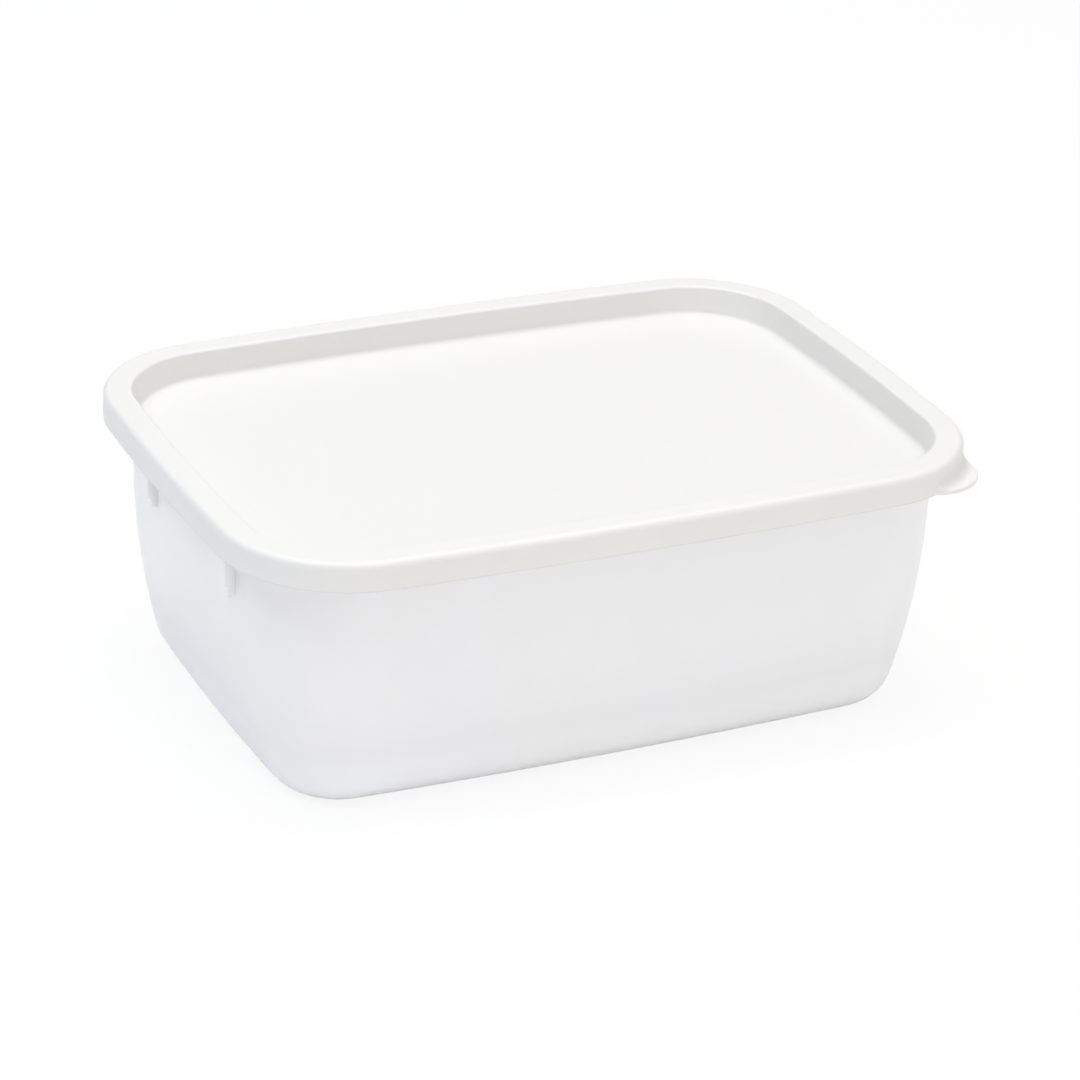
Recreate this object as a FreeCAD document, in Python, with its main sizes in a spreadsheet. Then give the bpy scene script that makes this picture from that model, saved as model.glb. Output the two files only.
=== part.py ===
# Rectangular food storage container: a thin bowed tub and a press-on lid with a deep recessed panel.
# Millimetres, +Z up, long side along X, origin in the middle of the underside.
import FreeCAD, Part
import math
import os
import Sketcher

os.makedirs("parts", exist_ok=True)
doc = FreeCAD.newDocument("FoodContainer")

# ---------------------------------------------------------------- driving sizes
sizes = {
    # whole container
    "overall_length": 232.0,
    "overall_width": 165.0,
    "overall_height": 85.0,
    "corner_round": 37.0,
    "side_arc": 1780.0,
    "end_arc": 1000.0,
    # lid
    "skirt_height": 8.6,
    "skirt_wall": 1.2,
    "roof_wall": 1.5,
    "rim_round": 2.0,
    "rim_band": 8.5,
    "rim_inner_round": 0.8,
    "recess_depth": 8.7,
    "recess_draft": 0.5,
    "recess_wall": 1.2,
    "panel_wall": 1.2,
    "panel_corner_ease": 3.0,
    "panel_edge_round": 0.9,
    "bead_reach": 0.8,
    "bead_height": 1.2,
    "bead_chamfer": 0.35,
    "skirt_lead": 1.1,
    "seal_reach": 0.6,
    "seal_height": 1.2,
    "seal_drop": 1.8,
    "seal_chamfer": 0.2,
    "skirt_edge_round": 0.35,
    # grip tab on one corner of the lid
    "tab_round": 14.5,
    "tab_from_end": 18.8,
    "tab_from_side": 18.0,
    "tab_thick": 1.2,
    "tab_edge_round": 0.35,
    "tab_edge_bevel": 0.3,
    "tab_root_round": 3.2,
    # fit between lid and tub, and how far added pads reach into the wall they stand on
    "fit_gap": 0.3,
    "root": 0.6,
    # tub
    "wall": 1.3,
    "floor_wall": 1.6,
    "lip_wall": 1.2,
    "flange_wall": 1.3,
    "rim_edge_round": 0.4,
    "shoulder_drop": 2.9,
    "shoulder_run": 3.65,
    "shoulder_rise": 2.4,
    "shoulder_lift": 0.6,
    "shoulder_round": 0.8,
    "wall_straight": 10.2,
    "wall_lean": 17.45,
    "foot_round": 11.0,
    "plate_step": 3.8,
    "base_recess": 0.5,
    "hollow_step": 2.3,
    # stacking lugs on the short sides
    "lug_from_corner": 20.0,
    "lug_wide": 11.0,
    "lug_set_back": 0.9,
    "lug_drop": 10.2,
    "lug_step_back": 5.5,
    "lug_step_in": 0.9,
    "lug_step_drop": 3.2,
    "lug_step_round": 2.8,
    "lug_edge_round": 0.3,
}

# places that follow from those sizes: insets run inwards from the outline, levels up from the base
follows = {
    # the tub's rim stands just outside the lid's plug and its sealing bead
    "rim_wall_inset": "rim_band - recess_wall - seal_reach - fit_gap - wall",
    "lip_drop": "skirt_height - roof_wall - fit_gap - bead_height - skirt_lead",
    # the shoulder passes under the plug, and the wall bows below the shoulder
    "shoulder_low": "overall_height - recess_depth - panel_wall - shoulder_drop",
    "wall_inset": "rim_wall_inset + shoulder_run",
    "bow_level": "shoulder_low - wall_straight",
    "foot_inset": "wall_inset + wall_lean",
    "plate_inset": "foot_inset + plate_step",
    "hollow_inset": "foot_inset + hollow_step",
    "panel_corner_round": "corner_round - rim_band - recess_draft + panel_corner_ease",
    "lug_near": "overall_width/2 - corner_round - lug_from_corner",
    "lug_inset": "rim_wall_inset + lug_set_back",
    "lug_low": "shoulder_low - lug_drop",
    "lug_step_inset": "lug_inset + lug_step_in",
    "lug_step_low": "lug_low - lug_step_drop",
    "tab_centre_x": "overall_length/2 - tab_from_end",
    "tab_centre_y": "overall_width/2 - tab_from_side",
}

sheet = doc.addObject("Spreadsheet::Sheet", "Dims")
for row, (name, number) in enumerate(sizes.items(), start=1):
    sheet.set("A%d" % row, name)
    sheet.set("B%d" % row, str(number))
    sheet.setAlias("B%d" % row, name)
doc.recompute()


# ---------------------------------------------------------------- helpers
def number(terms):
    """Number of a sum of named sizes and places, such as 'skirt_wall + fit_gap'."""
    total = 0.0
    sign = 1.0
    for word in terms.split():
        if word in "+-":
            sign = 1.0 if word == "+" else -1.0
        elif word.endswith("/2"):
            total += sign * sizes[word[:-2]] / 2.0
        elif word in follows:
            total += sign * number(follows[word])
        else:
            total += sign * (float(word) if word[0].isdigit() else sizes[word])
    return total


def expression(terms):
    """The same sum written for the document, reading the sheet."""
    words = []
    for word in terms.split():
        if word in follows:
            words.append(expression(follows[word]))
        elif word in "+-" or word[0].isdigit():
            words.append(word)
        else:
            words.append("Dims." + word)
    return "(" + " ".join(words) + ")"


def less(start, terms):
    """Terms for one sum taken away from another."""
    flipped = {"+": "-", "-": "+"}
    return start + " - " + " ".join(flipped.get(word, word) for word in terms.split())


def bind(thing, prop, terms):
    thing.setExpression(prop, expression(terms))


def originPlane(body, role):
    return [item for item in body.Origin.OriginFeatures if item.Role == role][0]


def newBody(name):
    body = doc.addObject("PartDesign::Body", name)
    body.Label = name
    return body


def newSketch(body, name, role, offset, turned=False):
    """Sketch on an origin plane, moved along its normal by a sum of sizes."""
    sketch = body.newObject("Sketcher::SketchObject", name)
    sketch.AttachmentSupport = [(originPlane(body, role), "")]
    sketch.MapMode = "FlatFace"
    sign = -1.0 if turned else 1.0
    sketch.AttachmentOffset = FreeCAD.Placement(
        FreeCAD.Vector(0, 0, sign * number(offset)), FreeCAD.Rotation())
    text = expression(offset)
    sketch.setExpression("AttachmentOffset.Base.z", "-" + text if turned else text)
    return sketch


def sized(sketch, parts, terms):
    """Dimension added to a sketch and bound to a sum of sizes."""
    index = sketch.addConstraint(Sketcher.Constraint(*parts, number(terms)))
    sketch.setExpression("Constraints[%d]" % index, expression(terms))


def outlineArcs(inset, corner):
    """Eight tangent arcs of a bowed, rounded rectangle, anticlockwise from the +X end."""
    sideShift = sizes["side_arc"] - sizes["overall_width"] / 2.0
    endShift = sizes["end_arc"] - sizes["overall_length"] / 2.0
    sideRadius = sizes["side_arc"] - inset
    endRadius = sizes["end_arc"] - inset
    # corner centre: inside tangent to a side arc and to an end arc
    fromSide = sideRadius - corner
    fromEnd = endRadius - corner
    span = math.hypot(sideShift, endShift)
    along = (fromSide ** 2 - fromEnd ** 2 + span ** 2) / (2.0 * span)
    off = math.sqrt(fromSide ** 2 - along ** 2)
    cornerX = -endShift * along / span + off * sideShift / span
    cornerY = -sideShift + sideShift * along / span + off * endShift / span
    endTurn = math.atan2(cornerY, cornerX + endShift)
    sideTurn = math.atan2(cornerY + sideShift, cornerX)
    half = math.pi
    return [
        ((-endShift, 0.0), endRadius, -endTurn, endTurn),
        ((cornerX, cornerY), corner, endTurn, sideTurn),
        ((0.0, -sideShift), sideRadius, sideTurn, half - sideTurn),
        ((-cornerX, cornerY), corner, half - sideTurn, half - endTurn),
        ((endShift, 0.0), endRadius, half - endTurn, half + endTurn),
        ((-cornerX, -cornerY), corner, half + endTurn, half + sideTurn),
        ((0.0, sideShift), sideRadius, half + sideTurn, 2 * half - sideTurn),
        ((cornerX, -cornerY), corner, 2 * half - sideTurn, 2 * half - endTurn),
    ]


def addOutline(sketch, inset, corner=None):
    """Closed outline lying an inset inside the container's own outline."""
    cornerTerms = corner if corner else less("corner_round", inset)
    first = sketch.GeometryCount
    for (x, y), radius, start, end in outlineArcs(number(inset), number(cornerTerms)):
        circle = Part.Circle(FreeCAD.Vector(x, y, 0), FreeCAD.Vector(0, 0, 1), radius)
        sketch.addGeometry(Part.ArcOfCircle(circle, start, end), False)
    endA, cornerA, sideA, cornerB, endB, cornerC, sideB, cornerD = range(first, first + 8)
    ring = [endA, cornerA, sideA, cornerB, endB, cornerC, sideB, cornerD]
    for here, following in zip(ring, ring[1:] + ring[:1]):
        sketch.addConstraint(Sketcher.Constraint("Tangent", here, 2, following, 1))
    for end in (endA, endB):
        sketch.addConstraint(Sketcher.Constraint("PointOnObject", end, 3, -1))
    for side in (sideA, sideB):
        sketch.addConstraint(Sketcher.Constraint("PointOnObject", side, 3, -2))
    for other in (cornerB, cornerC, cornerD):
        sketch.addConstraint(Sketcher.Constraint("Equal", cornerA, other))
    sketch.addConstraint(Sketcher.Constraint("Equal", endA, endB))
    sketch.addConstraint(Sketcher.Constraint("Equal", sideA, sideB))

    sized(sketch, ("Radius", cornerA), cornerTerms)
    sized(sketch, ("Radius", endA), less("end_arc", inset))
    sized(sketch, ("Radius", sideA), less("side_arc", inset))
    sized(sketch, ("DistanceX", endA, 3, -1, 1), "end_arc - overall_length/2")
    sized(sketch, ("DistanceX", -1, 1, endB, 3), "end_arc - overall_length/2")
    sized(sketch, ("DistanceY", sideA, 3, -1, 1), "side_arc - overall_width/2")
    sized(sketch, ("DistanceY", -1, 1, sideB, 3), "side_arc - overall_width/2")


def outlineSketch(body, name, level, inset, corner=None, innerInset=None):
    sketch = newSketch(body, name, "XY_Plane", level)
    addOutline(sketch, inset, corner)
    if innerInset:
        addOutline(sketch, innerInset)
    return sketch


def extrude(body, kind, name, sketch, length, reverse=False):
    feature = body.newObject("PartDesign::" + kind, name)
    feature.Profile = sketch
    feature.Length = number(length)
    bind(feature, "Length", length)
    feature.Reversed = reverse
    doc.recompute()
    return feature


def loft(body, kind, name, sketches, ruled=False):
    feature = body.newObject("PartDesign::" + kind, name)
    feature.Profile = sketches[0]
    feature.Sections = sketches[1:]
    feature.Ruled = ruled
    doc.recompute()
    return feature


def edgesWhere(feature, wanted):
    return ["Edge%d" % index for index, edge in enumerate(feature.Shape.Edges, start=1)
            if wanted(edge)]


def dress(body, kind, name, base, wanted, prop, size):
    edges = edgesWhere(base, wanted)
    if not edges:
        raise ValueError("no edges for " + name)
    feature = body.newObject("PartDesign::" + kind, name)
    feature.Base = (base, edges)
    setattr(feature, prop, number(size))
    bind(feature, prop, size)
    doc.recompute()
    return feature


def insetOf(point):
    """How far inside the container's outline a point lies, seen from above."""
    x = abs(point.x)
    y = abs(point.y)
    (cornerX, cornerY), corner, low, high = outlineArcs(0.0, number("corner_round"))[1]
    turn = math.atan2(y - cornerY, x - cornerX)
    if x > cornerX and y > cornerY and low <= turn <= high:
        return corner - math.hypot(x - cornerX, y - cornerY)
    endGap = number("end_arc") - math.hypot(x + number("end_arc - overall_length/2"), y)
    sideGap = number("side_arc") - math.hypot(x, y + number("side_arc - overall_width/2"))
    return min(endGap, sideGap)


def level(edge, height):
    """True for an edge that lies wholly at one height."""
    box = edge.BoundBox
    return abs(box.ZMin - height) < 0.02 and abs(box.ZMax - height) < 0.02


def middle(edge):
    return edge.valueAt((edge.FirstParameter + edge.LastParameter) / 2.0)


def ringEdge(height, inset):
    """Test for the edges of one outline: at one height and one inset."""
    return lambda edge: level(edge, height) and abs(insetOf(middle(edge)) - inset) < 0.05


# ---------------------------------------------------------------- tub
tub = newBody("tub")

# quarter of the outline as the path of the bowed wall, from the +X end to the +Y side
path = newSketch(tub, "WallPath", "XY_Plane", "0")
(endCentre, endRadius, _, endTurn), cornerArc, (sideCentre, sideRadius, sideTurn, _) = \
    outlineArcs(0.0, number("corner_round"))[:3]
for (x, y), radius, start, finish in (
        (endCentre, endRadius, 0.0, endTurn), cornerArc,
        (sideCentre, sideRadius, sideTurn, math.pi / 2.0)):
    circle = Part.Circle(FreeCAD.Vector(x, y, 0), FreeCAD.Vector(0, 0, 1), radius)
    path.addGeometry(Part.ArcOfCircle(circle, start, finish), False)
for constraint in (("Tangent", 0, 2, 1, 1), ("Tangent", 1, 2, 2, 1), ("PointOnObject", 0, 3, -1),
                   ("PointOnObject", 0, 1, -1), ("PointOnObject", 2, 3, -2),
                   ("PointOnObject", 2, 2, -2)):
    path.addConstraint(Sketcher.Constraint(*constraint))
sized(path, ("Radius", 0), "end_arc")
sized(path, ("Radius", 1), "corner_round")
sized(path, ("Radius", 2), "side_arc")
sized(path, ("DistanceX", 0, 3, -1, 1), "end_arc - overall_length/2")
sized(path, ("DistanceY", 2, 3, -1, 1), "side_arc - overall_width/2")

# cross-section of wall, foot and the edge of the floor, at the +X end
section = newSketch(tub, "WallSection", "XZ_Plane", "0")
half = number("overall_length/2")
bowZ = number("bow_level")
# radius of the bow that leaves the wall upright and meets the foot round a set lean further in
lean = number("wall_lean")
footRise = bowZ - number("foot_round")
outerBow = (lean ** 2 + footRise ** 2 - number("foot_round") ** 2) / (
    2.0 * (lean - number("foot_round")))
innerBow = outerBow - number("wall")
bowText = "((%s)^2 + (%s)^2 - (%s)^2) / (2 * (%s))" % tuple(
    expression(terms) for terms in ("wall_lean", "bow_level - foot_round", "foot_round",
                                    "wall_lean - foot_round"))
bowX = half - number("wall_inset") - outerBow


def footCentre(bowRadius, footRadius, floor):
    """Centre of a foot round tangent to the bowed wall and to the floor."""
    rise = floor + footRadius
    return bowX + math.sqrt((bowRadius - footRadius) ** 2 - (bowZ - rise) ** 2), rise


def sectionArc(centre, radius, start, finish):
    circle = Part.Circle(FreeCAD.Vector(centre[0], centre[1], 0), FreeCAD.Vector(0, 0, 1), radius)
    return section.addGeometry(Part.ArcOfCircle(circle, start, finish), False)


def sectionLine(start, finish):
    return section.addGeometry(Part.LineSegment(
        FreeCAD.Vector(start[0], start[1], 0), FreeCAD.Vector(finish[0], finish[1], 0)), False)


def chainLines(sketch, points):
    """Straight edges through points given as (x terms, height terms), each end bound."""
    places = [FreeCAD.Vector(number(x), number(z), 0) for x, z in points]
    lines = []
    for here, there in zip(places, places[1:]):
        lines.append(sketch.addGeometry(Part.LineSegment(here, there), False))
    for first, second in zip(lines, lines[1:]):
        sketch.addConstraint(Sketcher.Constraint("Coincident", first, 2, second, 1))
    for line, (x, z) in zip(lines, points[1:]):
        sized(sketch, ("DistanceX", -1, 1, line, 2), x)
        sized(sketch, ("DistanceY", -1, 1, line, 2), z)
    return lines


outerFoot = number("foot_round")
innerFoot = number("foot_round - wall")
outerCentre = footCentre(outerBow, outerFoot, 0.0)
innerCentre = footCentre(innerBow, innerFoot, number("floor_wall"))
outerTurn = math.atan2(outerCentre[1] - bowZ, outerCentre[0] - bowX)
innerTurn = math.atan2(innerCentre[1] - bowZ, innerCentre[0] - bowX)
plateX = number("overall_length/2 - plate_inset")
floorZ = number("floor_wall")
down = -math.pi / 2.0

base = sectionLine((plateX, 0.0), (outerCentre[0], 0.0))
footOut = sectionArc(outerCentre, outerFoot, down, outerTurn)
bowOut = sectionArc((bowX, bowZ), outerBow, outerTurn, 0.0)
outerX = "overall_length/2 - wall_inset"
innerX = outerX + " - wall"
rimOuterX = "overall_length/2 - rim_wall_inset"
lipOuterX = "overall_length/2 - skirt_wall - fit_gap"
rimTop = "overall_height - roof_wall"
upper = chainLines(section, [
    (outerX, "bow_level"),
    (outerX, "shoulder_low"),
    (rimOuterX, "shoulder_low + shoulder_rise"),
    (rimOuterX, rimTop + " - flange_wall"),
    (lipOuterX + " - lip_wall", rimTop + " - flange_wall"),
    (lipOuterX + " - lip_wall", rimTop + " - lip_drop"),
    (lipOuterX, rimTop + " - lip_drop"),
    (lipOuterX, rimTop),
    (rimOuterX + " - wall", rimTop),
    (rimOuterX + " - wall", "shoulder_low + shoulder_rise + shoulder_lift"),
    (innerX, "shoulder_low + shoulder_lift"),
])
upOut = upper[0]
upIn = sectionLine((number(innerX), number("shoulder_low + shoulder_lift")), (number(innerX), bowZ))
bowIn = sectionArc((bowX, bowZ), innerBow, innerTurn, 0.0)
footIn = sectionArc(innerCentre, innerFoot, down, innerTurn)
floor = sectionLine((innerCentre[0], floorZ), (plateX, floorZ))
plateEnd = sectionLine((plateX, floorZ), (plateX, 0.0))
for constraint in (
        ("Tangent", base, 2, footOut, 1), ("Tangent", footOut, 2, bowOut, 1),
        ("Tangent", bowOut, 2, upOut, 1), ("Coincident", upper[-1], 2, upIn, 1),
        ("Tangent", upIn, 2, bowIn, 2), ("Tangent", bowIn, 1, footIn, 2),
        ("Tangent", footIn, 1, floor, 1), ("Coincident", floor, 2, plateEnd, 1),
        ("Coincident", plateEnd, 2, base, 1), ("Horizontal", base), ("Vertical", upIn),
        ("Vertical", upOut),
        ("Horizontal", floor), ("Vertical", plateEnd), ("PointOnObject", base, 1, -1)):
    section.addConstraint(Sketcher.Constraint(*constraint))
sized(section, ("Radius", footOut), "foot_round")
sized(section, ("Radius", footIn), "foot_round - wall")
for arc, radius, text in ((bowOut, outerBow, bowText), (bowIn, innerBow, bowText + " - Dims.wall")):
    index = section.addConstraint(Sketcher.Constraint("Radius", arc, radius))
    section.setExpression("Constraints[%d]" % index, text)
    sized(section, ("DistanceY", -1, 1, arc, 3), "bow_level")
sized(section, ("DistanceX", -1, 1, base, 1), "overall_length/2 - plate_inset")
sized(section, ("DistanceY", -1, 1, floor, 2), "floor_wall")
doc.recompute()

quarter = tub.newObject("PartDesign::AdditivePipe", "WallQuarter")
quarter.Profile = section
quarter.Spine = (path, ["Edge1", "Edge2", "Edge3"])
doc.recompute()


def mirroredTwice(body, name, features):
    """Repeat features across the length and the width of the container."""
    repeat = body.newObject("PartDesign::MultiTransform", name)
    repeat.Originals = features
    turns = []
    for role, tail in (("XZ_Plane", "Width"), ("YZ_Plane", "Length")):
        mirror = doc.addObject("PartDesign::Mirrored", name + tail)
        mirror.MirrorPlane = (originPlane(body, role), [""])
        body.addObject(mirror)
        turns.append(mirror)
    repeat.Transformations = turns
    body.Tip = repeat
    doc.recompute()
    return repeat


ring = mirroredTwice(tub, "WallRing", [quarter])

# floor plate inside the swept ring, then the shallow hollow under it
plateSketch = outlineSketch(tub, "FloorOutline", "0", "plate_inset")
plate = extrude(tub, "Pad", "FloorPlate", plateSketch, "floor_wall")
hollowSketch = outlineSketch(tub, "BaseHollowOutline", "0", "hollow_inset")
hollow = extrude(tub, "Pocket", "BaseHollow", hollowSketch, "base_recess", reverse=True)

# stacking lugs under the shoulder: a wide upper step and a narrower, lower one
def pair(terms):
    """Number and expression of one sum."""
    return number(terms), expression(terms)


def lugBack():
    """X of the middle of the bowed end wall where a lug stands, as number and expression."""
    start, startText = pair("overall_length/2 - wall_inset - wall/2")
    out, outText = pair("lug_near + lug_wide/2")
    return (start - out ** 2 / number("end_arc + end_arc"),
            "%s - %s^2 / (2 * Dims.end_arc)" % (startText, outText))


def underShoulder(place):
    """Height just inside the sloping shoulder over an X, both as number and expression."""
    wallFace, wallFaceText = pair(outerX)
    low, lowText = pair("shoulder_low + root")
    height = low + (place[0] - wallFace) * number("shoulder_rise") / number("shoulder_run")
    text = "%s + (%s - %s) * Dims.shoulder_rise / Dims.shoulder_run" % (
        lowText, place[1], wallFaceText)
    return height, text


def lugSection(name, near, outer, low, tops):
    """Section of a lug standing across the width, from its face back into the wall."""
    sketch = newSketch(tub, name, "XZ_Plane", near, turned=True)
    face = pair(less("overall_length/2", outer))
    back = lugBack()
    corners = [(face[0], number(low)), (face[0], tops[0][0]),
               (back[0], tops[1][0]), (back[0], number(low))]
    places = [FreeCAD.Vector(x, z, 0) for x, z in corners]
    for here, there in zip(places, places[1:] + places[:1]):
        sketch.addGeometry(Part.LineSegment(here, there), False)
    for line in range(4):
        sketch.addConstraint(Sketcher.Constraint("Coincident", line, 2, (line + 1) % 4, 1))
    for constraint in (("Vertical", 0), ("Vertical", 2), ("Horizontal", 3)):
        sketch.addConstraint(Sketcher.Constraint(*constraint))
    sized(sketch, ("DistanceY", -1, 1, 0, 1), low)
    for way, line, end, (size, text) in (
            ("DistanceX", 0, 1, face), ("DistanceX", 2, 1, back),
            ("DistanceY", 0, 2, tops[0]), ("DistanceY", 1, 2, tops[1])):
        index = sketch.addConstraint(Sketcher.Constraint(way, -1, 1, line, end, size))
        sketch.setExpression("Constraints[%d]" % index, text)
    return sketch


lugTops = underShoulder(pair(less("overall_length/2", "lug_inset"))), underShoulder(lugBack())
upperLug = extrude(tub, "Pad", "LugUpper", lugSection(
    "LugUpperSection", "lug_near", "lug_inset", "lug_low", lugTops), "lug_wide", reverse=True)
lugs = mirroredTwice(tub, "Lugs", [upperLug])

# the lower step keeps to one side of its lug, so the two ends are alike after half a turn
stepTops = [pair("lug_low + root")] * 2
lowerSteps = []
for name, near in (("LugStepOuter", "lug_near + lug_step_back"),
                   ("LugStepInner", "0 - lug_near - lug_step_back")):
    stepSketch = lugSection(name + "Section", near, "lug_step_inset", "lug_step_low", stepTops)
    lowerSteps.append(extrude(tub, "Pad", name, stepSketch, "lug_wide - lug_step_back",
                              reverse=True))
steps = tub.newObject("PartDesign::PolarPattern", "LugSteps")
steps.Originals = lowerSteps
steps.Axis = (originPlane(tub, "Z_Axis"), [""])
steps.Angle = 360.0
steps.Occurrences = 2
tub.Tip = steps
doc.recompute()


def onLine(edge, **wanted):
    """True for an edge lying wholly at the given distances from the centre planes."""
    box = edge.BoundBox
    spans = {"x": (box.XMin, box.XMax), "y": (box.YMin, box.YMax), "z": (box.ZMin, box.ZMax)}
    return all(abs(abs(end) - value) < 0.02 for axis, value in wanted.items()
               for end in spans[axis])


lugFace = number("overall_length/2 - lug_inset")
stepFace = number("overall_length/2 - lug_step_inset")
stepNear = number("lug_near + lug_step_back")
cornerRound = dress(tub, "Fillet", "LugStepRound", steps, lambda edge: onLine(
    edge, y=stepNear, z=number("lug_step_low")), "Radius", "lug_step_round")
lugRound = dress(tub, "Fillet", "LugEdgeRound", cornerRound, lambda edge: (
    onLine(edge, x=lugFace) and middle(edge).z < number("shoulder_low"))
    or (onLine(edge, x=stepFace) and middle(edge).z < number("lug_low - root")),
    "Radius", "lug_edge_round")

# softened rim, lip and shoulder edges
lipEdge = number("skirt_wall + fit_gap")
rimInner = number("rim_wall_inset + wall")
rimTopZ = number(rimTop)
shoulderTopZ = number("shoulder_low + shoulder_rise + shoulder_lift")
rimRound = dress(tub, "Fillet", "RimRound", lugRound, lambda edge: (
    ringEdge(rimTopZ, lipEdge)(edge) or ringEdge(rimTopZ, rimInner)(edge)
    or ringEdge(rimTopZ - number("lip_drop"), lipEdge)(edge)), "Radius", "rim_edge_round")
dress(tub, "Fillet", "ShoulderRound", rimRound, lambda edge: (
    ringEdge(shoulderTopZ, rimInner)(edge)
    or ringEdge(number("shoulder_low + shoulder_lift"), number("wall_inset + wall"))(edge)),
    "Radius", "shoulder_round")

# ---------------------------------------------------------------- lid
lid = newBody("lid")
skirtLow = "overall_height - skirt_height"

lidBlock = extrude(lid, "Pad", "LidBlock", outlineSketch(lid, "LidOutline", skirtLow, "0"),
                   "skirt_height")
skirtLowZ = number(skirtLow)

# grip tab: a round tongue reaching out past one corner of the skirt
tabSketch = newSketch(lid, "TabOutline", "XY_Plane", skirtLow)
tabCircle = Part.Circle(FreeCAD.Vector(number("tab_centre_x"), -number("tab_centre_y"), 0),
                        FreeCAD.Vector(0, 0, 1), sizes["tab_round"])
tabSketch.addGeometry(Part.ArcOfCircle(tabCircle, math.pi, 2.5 * math.pi), False)
tabSketch.addGeometry(Part.LineSegment(tabSketch.getPoint(0, 2), tabSketch.getPoint(0, 1)), False)
for constraint in (("Coincident", 0, 2, 1, 1), ("Coincident", 1, 2, 0, 1),
                   ("Horizontal", 0, 1, 0, 3), ("Vertical", 0, 2, 0, 3)):
    tabSketch.addConstraint(Sketcher.Constraint(*constraint))
sized(tabSketch, ("Radius", 0), "tab_round")
sized(tabSketch, ("DistanceX", -1, 1, 0, 3), "tab_centre_x")
sized(tabSketch, ("DistanceY", 0, 3, -1, 1), "tab_centre_y")
tab = extrude(lid, "Pad", "Tab", tabSketch, "tab_thick")

lidUnder = extrude(lid, "Pocket", "LidUnderside", outlineSketch(
    lid, "LidUnderOutline", skirtLow, "skirt_wall"), "skirt_height - roof_wall", reverse=True)
skirtInside = dress(lid, "Fillet", "SkirtInsideRound", lidUnder,
                    ringEdge(skirtLowZ, sizes["skirt_wall"]), "Radius", "skirt_edge_round")

# plug standing down into the tub: its outside, then the recess that hollows it
plugLow = "overall_height - recess_depth - panel_wall"
plugTopInset = "rim_band - recess_wall"
plugLowInset = "rim_band + recess_draft - recess_wall"
plug = loft(lid, "AdditiveLoft", "Plug", [
    outlineSketch(lid, "PlugTop", rimTop, plugTopInset),
    outlineSketch(lid, "PlugLow", plugLow, plugLowInset, "panel_corner_round + recess_wall"),
], ruled=True)
recess = loft(lid, "SubtractiveLoft", "Recess", [
    outlineSketch(lid, "RecessTop", "overall_height", "rim_band"),
    outlineSketch(lid, "RecessFloor", "overall_height - recess_depth",
                  "rim_band + recess_draft", "panel_corner_round"),
], ruled=True)

# snap bead low inside the skirt, hooking under the tub's lip
beadInset = "skirt_wall + bead_reach"
beadLow = "overall_height - roof_wall - lip_drop - fit_gap - bead_height"
bead = extrude(lid, "Pad", "SnapBead", outlineSketch(
    lid, "BeadOutline", beadLow, "skirt_wall - root", innerInset=beadInset), "bead_height")
beadChamfer = dress(lid, "Chamfer", "SnapBeadEdges", bead, lambda edge: (
    ringEdge(number(beadLow), number(beadInset))(edge)
    or ringEdge(number(beadLow + " + bead_height"), number(beadInset))(edge)),
    "Size", "bead_chamfer")

# sealing bead round the plug, pressing on the inside of the tub's rim
sealInset = "rim_band - recess_wall - seal_reach"
sealLow = "overall_height - roof_wall - seal_drop - seal_height"
seal = extrude(lid, "Pad", "SealBead", outlineSketch(
    lid, "SealOutline", sealLow, sealInset, innerInset="rim_band - recess_wall/2"), "seal_height")
sealChamfer = dress(lid, "Chamfer", "SealBeadEdges", seal, lambda edge: (
    ringEdge(number(sealLow), number(sealInset))(edge)
    or ringEdge(number(sealLow + " + seal_height"), number(sealInset))(edge)),
    "Size", "seal_chamfer")

# rounded rim, recess, skirt and tab edges
lidTopZ = sizes["overall_height"]
panelZ = number("overall_height - recess_depth")
rimOutside = dress(lid, "Fillet", "RimOutsideRound", sealChamfer,
                   ringEdge(lidTopZ, 0.0), "Radius", "rim_round")
rimInside = dress(lid, "Fillet", "RimInsideRound", rimOutside,
                  ringEdge(lidTopZ, sizes["rim_band"]), "Radius", "rim_inner_round")
panelEdge = dress(lid, "Fillet", "PanelEdgeRound", rimInside, lambda edge: (
    level(edge, panelZ)), "Radius", "panel_edge_round")


def onTabRim(edge, height):
    """True for the free outer edge of the tab at one height."""
    point = middle(edge)
    reach = math.hypot(point.x - number("tab_centre_x"), point.y + number("tab_centre_y"))
    return level(edge, height) and abs(reach - sizes["tab_round"]) < 0.02


# the skirt runs out into the tab in one hollow curve; the tab's own edges are softened after it
tabTopZ = number(skirtLow + " + tab_thick")
tabRoot = dress(lid, "Fillet", "TabRootRound", panelEdge,
                ringEdge(tabTopZ, 0.0), "Radius", "tab_root_round")
tabLow = dress(lid, "Fillet", "TabLowRound", tabRoot, lambda edge: onTabRim(edge, skirtLowZ),
               "Radius", "tab_edge_round")
dress(lid, "Chamfer", "TabTopBevel", tabLow, lambda edge: onTabRim(edge, tabTopZ),
      "Size", "tab_edge_bevel")

# ---------------------------------------------------------------- checks and files
doc.recompute()
for item in doc.Objects:
    if "Invalid" in item.State or "Error" in item.State:
        raise RuntimeError(item.Name + " did not build")
for body in (tub, lid):
    solid = body.Shape
    if solid.isNull() or not solid.isValid() or len(solid.Solids) != 1:
        raise RuntimeError(body.Label + " is not one sound solid")
    solid.exportStep("parts/%s.step" % body.Label)
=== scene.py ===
import math

import bpy
from mathutils import Matrix, Vector

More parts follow.
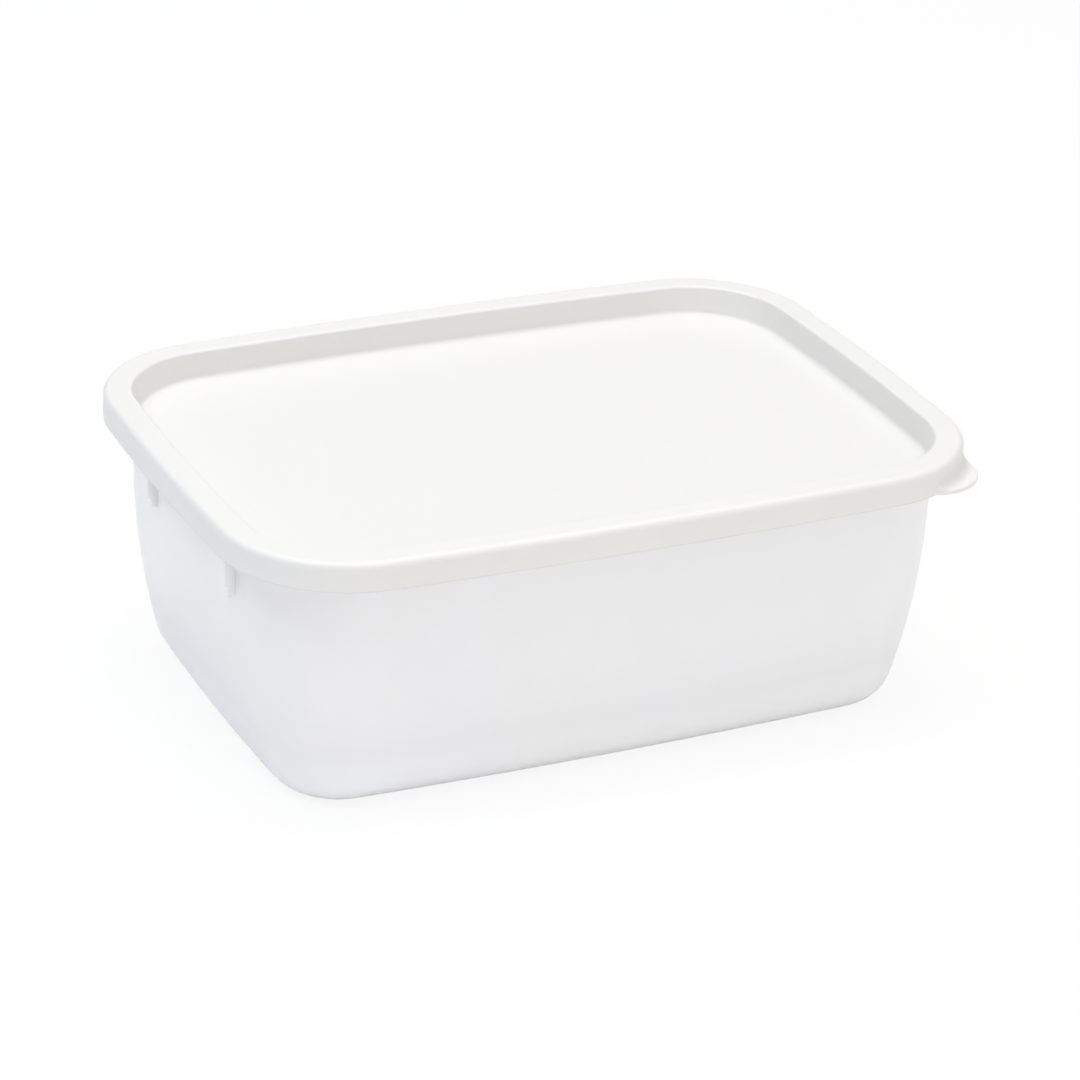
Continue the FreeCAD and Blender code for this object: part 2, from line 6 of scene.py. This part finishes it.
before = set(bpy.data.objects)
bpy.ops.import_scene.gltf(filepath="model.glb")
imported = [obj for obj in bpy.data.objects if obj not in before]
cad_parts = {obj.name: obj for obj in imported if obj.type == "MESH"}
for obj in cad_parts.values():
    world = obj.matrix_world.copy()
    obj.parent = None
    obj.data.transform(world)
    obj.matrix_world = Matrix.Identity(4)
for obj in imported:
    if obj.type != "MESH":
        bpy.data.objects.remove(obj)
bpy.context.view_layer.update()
print("frame loaded:", sorted(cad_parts))

mm = 0.001  # in metres
mixShare, mixFirst, mixSecond, mixResult = 0, 6, 7, 2  # colour sockets of a mix node


def hexToLinear(code):
    # sRGB hex to the linear colour that the shaders work in
    channels = [int(code[i:i + 2], 16) / 255.0 for i in (0, 2, 4)]
    linear = [c / 12.92 if c <= 0.04045 else ((c + 0.055) / 1.055) ** 2.4 for c in channels]
    return (*linear, 1.0)


def addNode(tree, kind, values=None, links=None, **settings):
    # one node: its settings, then its plain input values, then what feeds its inputs
    node = tree.nodes.new(kind)
    for name, value in settings.items():
        setattr(node, name, value)
    for name, value in (values or {}).items():
        node.inputs[name].default_value = value
    for name, source in (links or {}).items():
        tree.links.new(source, node.inputs[name])
    return node


def newMaterial(name):
    material = bpy.data.materials.new(name)
    material.use_nodes = True
    material.node_tree.nodes.clear()
    return material, material.node_tree


def addPaintedShade(tree, colour, spec):
    # painted shade: the colour is darkened where little light gets in, into corners and under edges, and
    # along sharp outer edges
    shares = []
    for place in (spec["corners"], spec["sharpEdges"]):
        near = addNode(tree, "ShaderNodeAmbientOcclusion", {"Distance": place["reach"]},
                       samples=8, inside=place["outerEdges"], only_local=True)
        share = addNode(tree, "ShaderNodeMapRange",
                        {"From Max": place["clearFrom"], "To Min": place["depth"], "To Max": 0.0},
                        {"Value": near.outputs["AO"]})
        shares.append(share.outputs["Result"])
    both = addNode(tree, "ShaderNodeMath", {}, {0: shares[0], 1: shares[1]},
                   operation="ADD", use_clamp=True)
    shaded = addNode(tree, "ShaderNodeMix", {mixSecond: hexToLinear(spec["shadeColour"])},
                     {mixShare: both.outputs[0], mixFirst: colour}, data_type="RGBA")
    return shaded.outputs[mixResult]


def addPlastic(tree, place, colour, spec):
    # the real grain of the mould is too fine to show, so it is drawn coarser
    grain = addNode(tree, "ShaderNodeTexNoise",
                    {"Scale": 1.0 / spec["grainSize"], "Detail": spec["grainDetail"]},
                    {"Vector": place.outputs["Object"]})
    bump = addNode(tree, "ShaderNodeBump",
                   {"Strength": spec["grainStrength"], "Distance": spec["grainHeight"]},
                   {"Height": grain.outputs["Fac"]})
    shader = addNode(tree, "ShaderNodeBsdfPrincipled", {
        "Roughness": spec["roughness"], "IOR": spec["ior"],
        "Subsurface Weight": spec["scatter"], "Subsurface Scale": spec["scatterDepth"],
        "Subsurface Radius": (1.0, 1.0, 1.0),  # every colour soaks in equally far
    }, {"Base Color": addPaintedShade(tree, colour, spec), "Normal": bump.outputs["Normal"]})
    addNode(tree, "ShaderNodeOutputMaterial", {}, {"Surface": shader.outputs["BSDF"]})


tubPlastic = {
    "name": "naturalPolypropyleneMoulded",
    "colour": "F4F3F2",
    "flowColour": "F1F0F1",  # faint clouds where the plastic flowed
    "flowSize": 38.0 * mm,
    # painted light: the tub is drawn paler between footLow and footHigh
    "paintedFootLightColour": "FFFFFF",
    "footLow": 7.0 * mm,
    "footHigh": 20.0 * mm,
    "roughness": 0.28,
    "ior": 1.49,
    "scatter": 0.45,
    "scatterDepth": 2.0 * mm,
    "grainSize": 0.9 * mm,
    "grainDetail": 3.0,
    "grainStrength": 0.04,
    "grainHeight": 0.2 * mm,
    # painted shade: corners and sharp outer edges of the tub are darkened towards shadeColour
    "corners": {"outerEdges": False, "reach": 5.0 * mm, "depth": 0.06, "clearFrom": 1.0},
    "sharpEdges": {"outerEdges": True, "reach": 0.5 * mm, "depth": 0.15, "clearFrom": 0.78},
    "shadeColour": "A8ACB8",
}


def makeTubPlastic(spec):
    # unpigmented polypropylene: milky, light soaks in and comes out softly, satin from the mould
    material, tree = newMaterial(spec["name"])
    place = addNode(tree, "ShaderNodeTexCoord")
    flow = addNode(tree, "ShaderNodeTexNoise", {"Scale": 1.0 / spec["flowSize"]},
                   {"Vector": place.outputs["Object"]})
    clouded = addNode(tree, "ShaderNodeMix",
                      {mixFirst: hexToLinear(spec["colour"]), mixSecond: hexToLinear(spec["flowColour"])},
                      {mixShare: flow.outputs["Fac"]}, data_type="RGBA")
    # painted light: the colour is paler towards the rounded foot, standing in for light the foot catches
    # from the table
    height = addNode(tree, "ShaderNodeSeparateXYZ", {}, {"Vector": place.outputs["Object"]})
    paintedFootLightShare = addNode(tree, "ShaderNodeMapRange",
                        {"From Min": spec["footLow"], "From Max": spec["footHigh"],
                         "To Min": 1.0, "To Max": 0.0},
                        {"Value": height.outputs["Z"]}, interpolation_type="SMOOTHSTEP")
    footLightPainted = addNode(tree, "ShaderNodeMix", {mixSecond: hexToLinear(spec["paintedFootLightColour"])},
                     {mixShare: paintedFootLightShare.outputs["Result"], mixFirst: clouded.outputs[mixResult]},
                     data_type="RGBA")
    addPlastic(tree, place, footLightPainted.outputs[mixResult], spec)
    return material


lidPlastic = {
    "name": "whitePolyethyleneMoulded",
    "colour": "E6E5E2",
    "roughness": 0.45,
    "ior": 1.51,
    "scatter": 0.12,
    "scatterDepth": 1.5 * mm,
    "grainSize": 0.7 * mm,
    "grainDetail": 3.0,
    "grainStrength": 0.04,
    "grainHeight": 0.2 * mm,
    # painted shade: corners and sharp outer edges of the lid are darkened towards shadeColour
    "corners": {"outerEdges": False, "reach": 2.5 * mm, "depth": 0.08, "clearFrom": 1.0},
    "sharpEdges": {"outerEdges": True, "reach": 1.1 * mm, "depth": 0.6, "clearFrom": 0.78},
    "shadeColour": "A0A09C",
}


def makeLidPlastic(spec):
    # white low-density polyethylene: soft, waxy white with a dull sheen from the mould
    material, tree = newMaterial(spec["name"])
    place = addNode(tree, "ShaderNodeTexCoord")
    plain = addNode(tree, "ShaderNodeRGB")
    plain.outputs[0].default_value = hexToLinear(spec["colour"])
    addPlastic(tree, place, plain.outputs[0], spec)
    return material


nodeFinish = {
    "tub": (makeTubPlastic(tubPlastic), "tub_polypropylene"),
    "lid": (makeLidPlastic(lidPlastic), "lid_polyethylene"),
}
for nodeName, (material, slotName) in nodeFinish.items():
    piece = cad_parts[nodeName]
    piece.data.materials.clear()
    piece.data.materials.append(material)
print("materials made:", [material.name for material, _ in nodeFinish.values()])

floorSpec = {
    "size": 8.0,
    "colour": "FAFAFA",
    "whiteShare": 0.86,  # of what the camera sees; the rest is paper, which shows a faint shadow
}


def makeFloor(spec):
    # matt studio paper, seen as almost white, that gives the object no more light than paper does
    bpy.ops.mesh.primitive_plane_add(size=spec["size"], location=(0, 0, 0))
    floor = bpy.context.object
    floor.name = "floor"
    material, tree = newMaterial("paleStudioPaper")
    ray = addNode(tree, "ShaderNodeLightPath")
    paper = addNode(tree, "ShaderNodeBsdfDiffuse", {"Color": hexToLinear(spec["colour"])})
    white = addNode(tree, "ShaderNodeEmission", {"Strength": 1.0})
    seen = addNode(tree, "ShaderNodeMath", {1: spec["whiteShare"]},
                   {0: ray.outputs["Is Camera Ray"]}, operation="MULTIPLY")
    both = addNode(tree, "ShaderNodeMixShader", {},
                   {0: seen.outputs[0], 1: paper.outputs[0], 2: white.outputs[0]})
    addNode(tree, "ShaderNodeOutputMaterial", {}, {"Surface": both.outputs[0]})
    floor.data.materials.append(material)


makeFloor(floorSpec)

worldSpec = {"ambient": "FDFDFF", "strength": 0.49}
lampSpecs = {
    "overheadSoftbox": {"place": (0.05, 0.10, 1.3), "aim": (0, 0, 0.04), "size": 1.2,
                        "watts": 9.8, "colour": "FFFEFA"},
    "frontSoftbox": {"place": (0.35, -1.20, 0.95), "aim": (0, 0, 0.04), "size": 1.0,
                     "watts": 3.2, "colour": "FFFAF5"},
    "lowFrontFill": {"place": (-0.10, -1.20, 0.10), "aim": (0, 0, 0.03), "size": 0.6,
                     "watts": 1.15, "colour": "FFFFFF"},
    "leftSoftbox": {"place": (-0.75, -0.10, 1.15), "aim": (0, 0, 0.03), "size": 0.5,
                    "watts": 4.0, "colour": "DEE9FF"},
}


def makeWorld(spec):
    # even light from all round, and plain white where the camera looks past everything
    world = bpy.data.worlds.new("softStudio")
    bpy.context.scene.world = world
    world.use_nodes = True
    tree = world.node_tree
    tree.nodes.clear()
    ray = addNode(tree, "ShaderNodeLightPath")
    seen = addNode(tree, "ShaderNodeMath", {},
                   {0: ray.outputs["Is Camera Ray"], 1: ray.outputs["Is Transmission Ray"]},
                   operation="MAXIMUM")
    ambient = addNode(tree, "ShaderNodeBackground",
                      {"Color": hexToLinear(spec["ambient"]), "Strength": spec["strength"]})
    white = addNode(tree, "ShaderNodeBackground", {"Color": (1, 1, 1, 1), "Strength": 1.0})
    both = addNode(tree, "ShaderNodeMixShader", {},
                   {0: seen.outputs[0], 1: ambient.outputs[0], 2: white.outputs[0]})
    addNode(tree, "ShaderNodeOutputWorld", {}, {"Surface": both.outputs[0]})


def makeLamp(name, spec):
    # a round softbox turned towards its aim
    lamp = bpy.data.lights.new(name, "AREA")
    lamp.shape = "DISK"
    lamp.size = spec["size"]
    lamp.energy = spec["watts"]
    lamp.color = hexToLinear(spec["colour"])[:3]
    holder = bpy.data.objects.new(name, lamp)
    bpy.context.scene.collection.objects.link(holder)
    holder.location = spec["place"]
    turn = (Vector(spec["place"]) - Vector(spec["aim"])).to_track_quat("Z", "Y")
    holder.rotation_euler = turn.to_euler()


makeWorld(worldSpec)
for lampName, lampSpec in lampSpecs.items():
    makeLamp(lampName, lampSpec)
print("floor and light made")

cameraSpec = {
    "azimuth": -26.12, "elevation": 25.53, "roll": 2.66,
    "distance": 1.15591, "aim": (0.00382, -0.00146, 0.04212),
    "lens": 129.302333, "sensor": 36.0, "clipEnd": 50.0,
}


def makeCamera(spec):
    # azimuth turns to the right from straight in front, and roll tips the right side up
    azimuth, elevation, roll = (math.radians(spec[k]) for k in ("azimuth", "elevation", "roll"))
    back = Vector((math.sin(azimuth) * math.cos(elevation),
                   -math.cos(azimuth) * math.cos(elevation), math.sin(elevation)))
    right = (-back).cross(Vector((0, 0, 1))).normalized()
    up = right.cross(-back)
    turnedRight = right * math.cos(roll) + up * math.sin(roll)
    turnedUp = up * math.cos(roll) - right * math.sin(roll)
    place = Vector(spec["aim"]) + back * spec["distance"]
    data = bpy.data.cameras.new("camera")
    data.sensor_width = spec["sensor"]
    data.lens = spec["lens"]
    data.clip_end = spec["clipEnd"]
    camera = bpy.data.objects.new("camera", data)
    bpy.context.scene.collection.objects.link(camera)
    turn = Matrix((turnedRight, turnedUp, back)).transposed().to_4x4()
    camera.matrix_world = Matrix.Translation(place) @ turn
    bpy.context.scene.camera = camera


makeCamera(cameraSpec)
bpy.context.scene.view_settings.view_transform = "Standard"
print("camera set")
